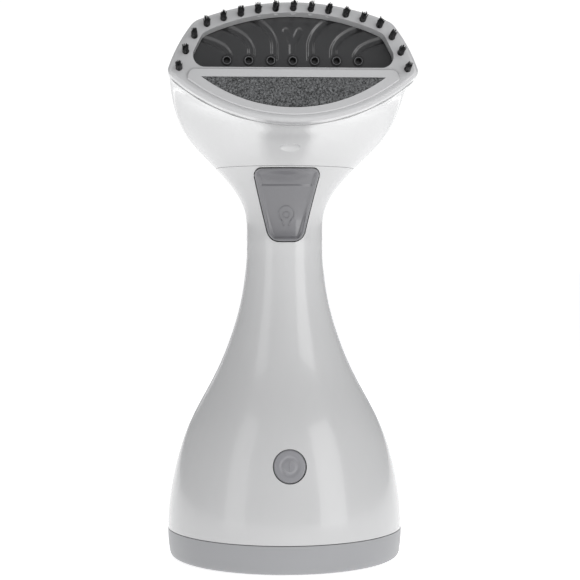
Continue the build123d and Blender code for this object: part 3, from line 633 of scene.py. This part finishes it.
def trigger():
    """The trigger's cap: a raised rim round a dished panel, with a step under its sloping top."""
    tree = surface_of(frame["nodes"]["trigger"])

    def skin(x, z):
        """The CAD trigger's front, looked up just inside its outline."""
        room = trigger_half_width(z) - TRIGGER_INSET
        x = min(max(x, -room), room)
        z = min(max(z, TRIGGER_BOTTOM + TRIGGER_INSET), TRIGGER_TOP - TRIGGER_INSET)
        found = front_y(tree, x, z)
        if found is None:
            found = front_y(tree, x * 0.94, z)
        return found

    def edge_distance(x, z):
        across = (trigger_half_width(z) - abs(x)) * SIDE_SLOPE
        return max(min(across, TRIGGER_TOP - z, z - TRIGGER_BOTTOM), 0.0)

    def front(x, z):
        y = skin(x, z)
        away = edge_distance(x, z)
        rounding = 0.5 * (1 - min(away / TRIGGER_ROUNDING, 1.0)) ** 2
        top_share = min(max((z - TRIGGER_CREASE) / (TRIGGER_TOP - TRIGGER_RIM - TRIGGER_CREASE), 0.0), 1.0)
        low_share = max((TRIGGER_CREASE - z) / (TRIGGER_CREASE - TRIGGER_BOTTOM), 0.0)
        above = UPPER_DISH + (UPPER_EDGE - UPPER_DISH) * top_share
        under = PANEL_EDGE + (PANEL_DISH - PANEL_EDGE) * low_share
        step = smooth_step((z - TRIGGER_CREASE) / TRIGGER_STEP)
        dish = (under + (above - under) * step) * smooth_step((away - TRIGGER_RIM) / TRIGGER_BEVEL)
        return Vector((x, y + rounding + dish, z)) * MM

    def back(x, z):
        return Vector((x, skin(x, z) + CAP_DEPTH, z)) * MM

    made = slab("trigger_cap", trigger_half_width, TRIGGER_BOTTOM + 0.02, TRIGGER_TOP - 0.02, front, back,
                92, 80, "control_grey", "trigger", "trigger")
    sharpen(made, 40)
    return made


def ridge(name, paths, half_width, height, tree, slot, body):
    """Low rounded ridges that lie on a surface, along lines given as (x, z) points."""
    points, faces = [], []
    section = ((-1.0, -0.6), (-0.75, 0.6), (-0.3, 1.0), (0.3, 1.0), (0.75, 0.6), (1.0, -0.6))
    for path in paths:
        closed = math.hypot(path[0][0] - path[-1][0], path[0][1] - path[-1][1]) < 1e-6
        line = path[:-1] if closed else path
        first, count = len(points), len(line)
        for k, (x, z) in enumerate(line):
            a = line[(k - 1) % count] if closed or k else line[0]
            b = line[(k + 1) % count] if closed or k < count - 1 else line[-1]
            along = math.hypot(b[0] - a[0], b[1] - a[1])
            nx, nz = -(b[1] - a[1]) / along, (b[0] - a[0]) / along
            y = front_y(tree, x, z)
            for across, up in section:
                off = across * half_width
                points.append(Vector((x + nx * off, y - up * height, z + nz * off)) * MM)
        span = len(section)
        for k in range(count if closed else count - 1):
            here, ahead = first + k * span, first + (k + 1) % count * span
            for s in range(span):
                after = (s + 1) % span
                faces.append((here + s, here + after, ahead + after, ahead + s))
        if not closed:
            faces.append(tuple(first + s for s in reversed(range(span))))
            faces.append(tuple(first + (count - 1) * span + s for s in range(span)))
    return piece(name, points, faces, slot, body)


def circle_path(x, z, radius, start=0.0, end=360.0, steps=36):
    """Points on a circle or an arc, with its ends in degrees."""
    turns = [math.radians(start + (end - start) * k / steps) for k in range(steps + 1)]
    return [(x + radius * math.cos(a), z + radius * math.sin(a)) for a in turns]


def steam_mark(cap):
    """A raised steam sign: a ring that opens downwards into two legs, with a drop inside."""
    ring = circle_path(0, MARK_Z, 4.2, -48, 228, 40)
    legs = [[end, (side * 1.9, MARK_Z - 4.6), (side * 1.3, MARK_Z - 6.7)]
            for end, side in ((ring[0], 1), (ring[-1], -1))]
    drop = circle_path(0, MARK_Z - 0.7, 1.7)
    ridge("steam_mark", [ring, drop, *legs], 0.36, MARK_HEIGHT, surface_of(cap), "control_grey", "trigger")


# ---------------------------------------------------------------- power button

BUTTON_Z = 57.0
BUTTON_R = 8.45
BUTTON_DEPTH = 3.0
EDGE_FROM = 7.5
RING_INNER = 3.1
RING_OUTER = 4.7
RING_SLOPE = 0.6
RELIEF = 0.45


def power_button():
    """The round cap with a softened edge and a shallow sunk ring."""
    tree = surface_of(frame["nodes"]["power_button"])
    rings = (1.2, 2.4, 3.1, 3.4, 3.7, 4.2, 4.7, 5.0, 5.3, 6.2, 7.1, 7.6, 7.9, 8.1, 8.25, 8.35, 8.42, BUTTON_R)
    turns = 96
    points, faces = [], []

    def cap_y(x, z, radius):
        inward = min(1.0, (BUTTON_R - 0.12) / max(radius, 1e-6))
        y = front_y(tree, x * inward, BUTTON_Z + z * inward)
        edge = smooth_step((radius - EDGE_FROM) / (BUTTON_R - EDGE_FROM)) ** 2
        inner, outer = [smooth_step((radius - r) / RING_SLOPE) for r in (RING_INNER, RING_OUTER)]
        return y + RELIEF * (edge + inner * (1 - outer))

    levels = [(radius, 0.0) for radius in rings] + [(BUTTON_R, BUTTON_DEPTH)]
    for radius, depth in levels:
        for k in range(turns):
            a = 2 * math.pi * k / turns
            x, z = radius * math.cos(a), radius * math.sin(a)
            points.append(Vector((x, cap_y(x, z, radius) + depth, BUTTON_Z + z)) * MM)
    last = (len(levels) - 1) * turns
    for i in range(len(levels) - 1):
        for k in range(turns):
            a, b = i * turns + k, i * turns + (k + 1) % turns
            faces.append((a, b, b + turns, a + turns))
    points += [Vector((0, cap_y(0, 0, 0) + depth, BUTTON_Z)) * MM for depth in (0.0, BUTTON_DEPTH)]
    for near in range(turns):
        far = (near + 1) % turns
        faces.append((near, len(points) - 2, far))
        faces.append((last + near, last + far, len(points) - 1))
    made = piece("power_cap", points, faces, "control_grey", "power_button", "power_button")
    sharpen(made, 45)
    return repaint(made, "button_grey")


def power_mark(cap):
    """A raised upright stroke in the middle of the button."""
    stroke = [(0, BUTTON_Z - 2.3 + 0.46 * k) for k in range(11)]
    made = ridge("power_stroke", [stroke], 0.5, MARK_HEIGHT, surface_of(cap), "control_grey", "power_button")
    repaint(made, "button_grey")


# ---------------------------------------------------------------- scene

MATERIALS = make_materials()
make_camera()
make_studio()
make_floor()
paint_frame()
steam_plate()
nozzle_rings()
lint_pad()
bristle_tufts()
trigger_cap = trigger()
steam_mark(trigger_cap)
button_cap = power_button()
power_mark(button_cap)
